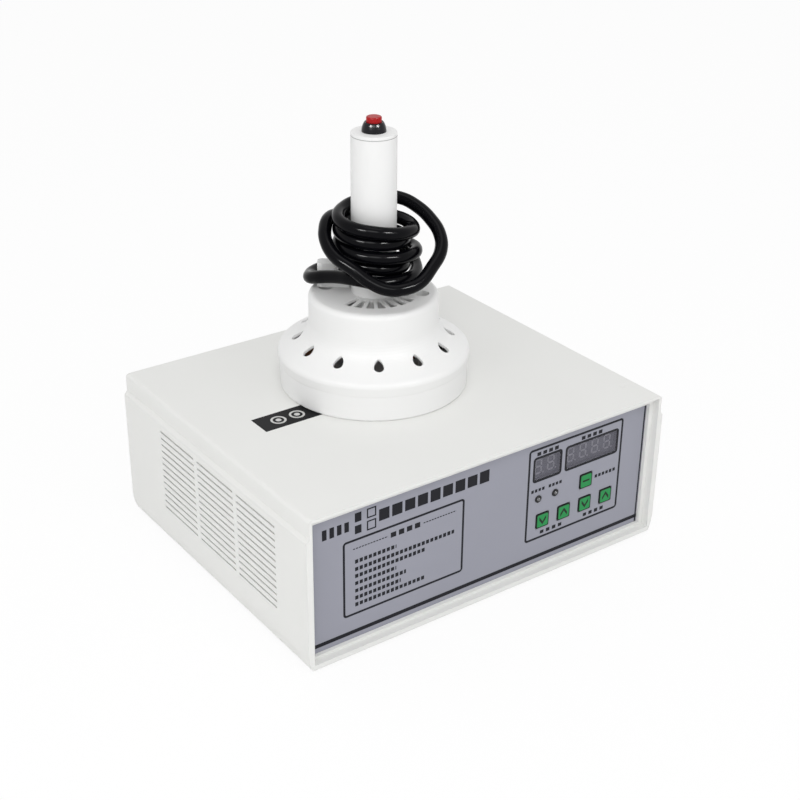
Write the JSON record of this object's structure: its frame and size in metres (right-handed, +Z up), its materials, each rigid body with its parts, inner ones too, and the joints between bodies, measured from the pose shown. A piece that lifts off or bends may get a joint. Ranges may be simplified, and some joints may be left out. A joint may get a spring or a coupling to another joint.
{
  "type": "induction cap sealer",
  "caption": "Bench induction cap sealer: louvred two-piece case with a recessed key and display panel, and a domed hand-held sealing head with its corded handle resting on the lid",
  "frame": {"origin": "centre of the footprint of the case, on the surface the rubber feet stand on, cord left out", "axes": "X to the right along the front edge, Y from the front edge to the rear, Z up"},
  "size_m": [0.325, 0.3139, 0.333],
  "materials": {
    "case_white": "fine satin moulded texture",
    "head_white": "smooth semi-gloss moulding",
    "label_black": "satin film",
    "foot_rubber": "matt",
    "screw_steel": "zinc plated",
    "panel_plastic": "satin sheet",
    "film_grey": "fine grained printed film",
    "window_tint": "tinted clear, polished",
    "dark_plastic": "satin",
    "dark_gloss": "polished",
    "lamp_clear": "clear epoxy",
    "key_green": "satin film over a dome",
    "board_green": "solder mask",
    "sink_aluminium": "extruded",
    "sleeve_blue": "shrink sleeve",
    "case_yellow": "moulded box",
    "copper_wire": "enamelled wire",
    "ferrite": "sintered, matt",
    "guard_chrome": "plated wire",
    "pin_brass": "nickel plated",
    "button_red": "polished",
    "cord_black": "glossy soft sheath"
  },
  "bodies": {
    "machine": {"base_shell": "case_white", "top_cover": "case_white", "cover_label": "label_black", "rubber_feet": "foot_rubber", "case_screws": "screw_steel", "front_panel": "panel_plastic", "panel_overlay": "film_grey", "time_window": "window_tint", "count_window": "window_tint", "time_display": "dark_plastic", "count_display": "dark_plastic", "led_rings": "dark_plastic", "power_led": "lamp_clear", "work_led": "lamp_clear", "key_switches": "dark_plastic", "control_board": "board_green", "board_screws": "screw_steel", "power_board": "board_green", "power_screws": "screw_steel", "heat_sink": "sink_aluminium", "transistors": "dark_plastic", "bus_capacitors": "sleeve_blue", "resonant_capacitors": "case_yellow", "choke": "copper_wire", "drive_transformer": "ferrite", "rear_panel": "panel_plastic", "fan_frame": "dark_plastic", "fan_guard": "guard_chrome", "fan_screws": "screw_steel", "mains_inlet": "dark_plastic", "inlet_pins": "pin_brass", "fuse_holder": "dark_plastic", "rocker_frame": "dark_plastic", "cord_gland": "dark_plastic", "head_base": "head_white", "head_shell": "head_white", "sealing_coil": "copper_wire", "ferrite_bars": "ferrite", "head_screws": "screw_steel", "handle_tube": "head_white", "handle_cap": "head_white", "button_bezel": "dark_gloss", "button_nut": "screw_steel", "trigger_switch": "dark_plastic", "cable_block": "head_white", "block_screws": "screw_steel", "cord_coil": "cord_black", "cord_lead": "cord_black", "cord_loop": "cord_black", "cord_tail": "cord_black"},
    "minus_key": {"key_minus": "key_green"},
    "time_down_key": {"key_time_down": "key_green"},
    "time_up_key": {"key_time_up": "key_green"},
    "count_down_key": {"key_count_down": "key_green"},
    "count_up_key": {"key_count_up": "key_green"},
    "fan": {"fan_rotor": "dark_plastic"},
    "power_rocker": {"rocker": "dark_gloss"},
    "trigger": {"trigger_button": "button_red"}
  },
  "joints": [
    {"name": "press_minus", "type": "slide", "parent": "machine", "child": "minus_key", "axis": [0, 1, 0], "range_m": [0, 0.0005], "stiffness_N_per_m": 800},
    {"name": "press_time_down", "type": "slide", "parent": "machine", "child": "time_down_key", "axis": [0, 1, 0], "range_m": [0, 0.0005], "stiffness_N_per_m": 800},
    {"name": "press_time_up", "type": "slide", "parent": "machine", "child": "time_up_key", "axis": [0, 1, 0], "range_m": [0, 0.0005], "stiffness_N_per_m": 800},
    {"name": "press_count_down", "type": "slide", "parent": "machine", "child": "count_down_key", "axis": [0, 1, 0], "range_m": [0, 0.0005], "stiffness_N_per_m": 800},
    {"name": "press_count_up", "type": "slide", "parent": "machine", "child": "count_up_key", "axis": [0, 1, 0], "range_m": [0, 0.0005], "stiffness_N_per_m": 800},
    {"name": "fan_spin", "type": "hinge", "parent": "machine", "child": "fan", "pos_m": [-0.085, 0.11, 0.063], "axis": [0, 1, 0], "continuous": true},
    {"name": "rocker_tilt", "type": "hinge", "parent": "machine", "child": "power_rocker", "pos_m": [0.02, 0.1245, 0.063], "axis": [-1, 0, 0], "range_deg": [0, 20]},
    {"name": "trigger_press", "type": "slide", "parent": "machine", "child": "trigger", "axis": [0, 0, -1], "range_m": [0, 0.0025], "stiffness_N_per_m": 600}
  ]
}
